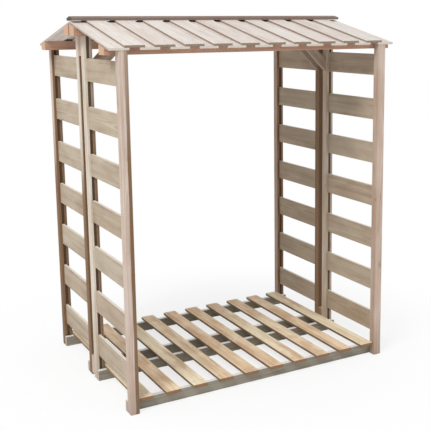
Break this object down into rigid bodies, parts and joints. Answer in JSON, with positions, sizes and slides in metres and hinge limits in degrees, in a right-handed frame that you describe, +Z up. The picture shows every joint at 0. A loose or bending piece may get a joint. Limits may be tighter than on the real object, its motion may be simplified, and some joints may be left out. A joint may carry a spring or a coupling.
{
  "type": "log store",
  "caption": "Free-standing open timber log store: two slatted frames back to back, a slatted floor and a low pitched roof of overlapping boards",
  "frame": {"origin": "centre of the footprint, on the ground", "axes": "X runs along the ridge, Y from the front open side to the rear open side, Z is up"},
  "size_m": [1.75, 1.2092, 2.0709],
  "materials": {
    "roof_timber": "weathered softwood, sawn",
    "frame_timber": "planed softwood, waxy",
    "side_timber": "planed softwood with knots",
    "floor_timber": "planed softwood, warm tan",
    "bearer_timber": "treated softwood, grey-green",
    "cap_timber": "weathered softwood, grey-brown"
  },
  "bodies": {
    "root": {"eave_post_front_left": "frame_timber", "middle_post_front_left": "frame_timber", "side_boards_front_left": "side_timber", "brace_front_left": "frame_timber", "eave_post_rear_left": "frame_timber", "middle_post_rear_left": "frame_timber", "side_boards_rear_left": "side_timber", "brace_rear_left": "frame_timber", "upper_block_left": "frame_timber", "lower_block_left": "frame_timber", "eave_post_front_right": "frame_timber", "middle_post_front_right": "frame_timber", "side_boards_front_right": "side_timber", "brace_front_right": "frame_timber", "eave_post_rear_right": "frame_timber", "middle_post_rear_right": "frame_timber", "side_boards_rear_right": "side_timber", "brace_rear_right": "frame_timber", "upper_block_right": "frame_timber", "lower_block_right": "frame_timber", "outer_bearer_front": "bearer_timber", "inner_bearer_front": "bearer_timber", "eave_purlin_front": "frame_timber", "ridge_beam_front": "frame_timber", "roof_under_boards_front": "roof_timber", "roof_over_boards_front": "roof_timber", "ridge_board_front": "cap_timber", "outer_bearer_rear": "bearer_timber", "inner_bearer_rear": "bearer_timber", "eave_purlin_rear": "frame_timber", "ridge_beam_rear": "frame_timber", "roof_under_boards_rear": "roof_timber", "roof_over_boards_rear": "roof_timber", "ridge_board_rear": "cap_timber", "floor_slat_1": "floor_timber", "floor_slat_2": "floor_timber", "floor_slat_3": "floor_timber", "floor_slat_4": "floor_timber", "floor_slat_5": "floor_timber", "floor_slat_6": "floor_timber", "floor_slat_7": "floor_timber", "floor_slat_8": "floor_timber", "floor_slat_9": "floor_timber", "floor_slat_10": "floor_timber"}
  },
  "joints": []
}
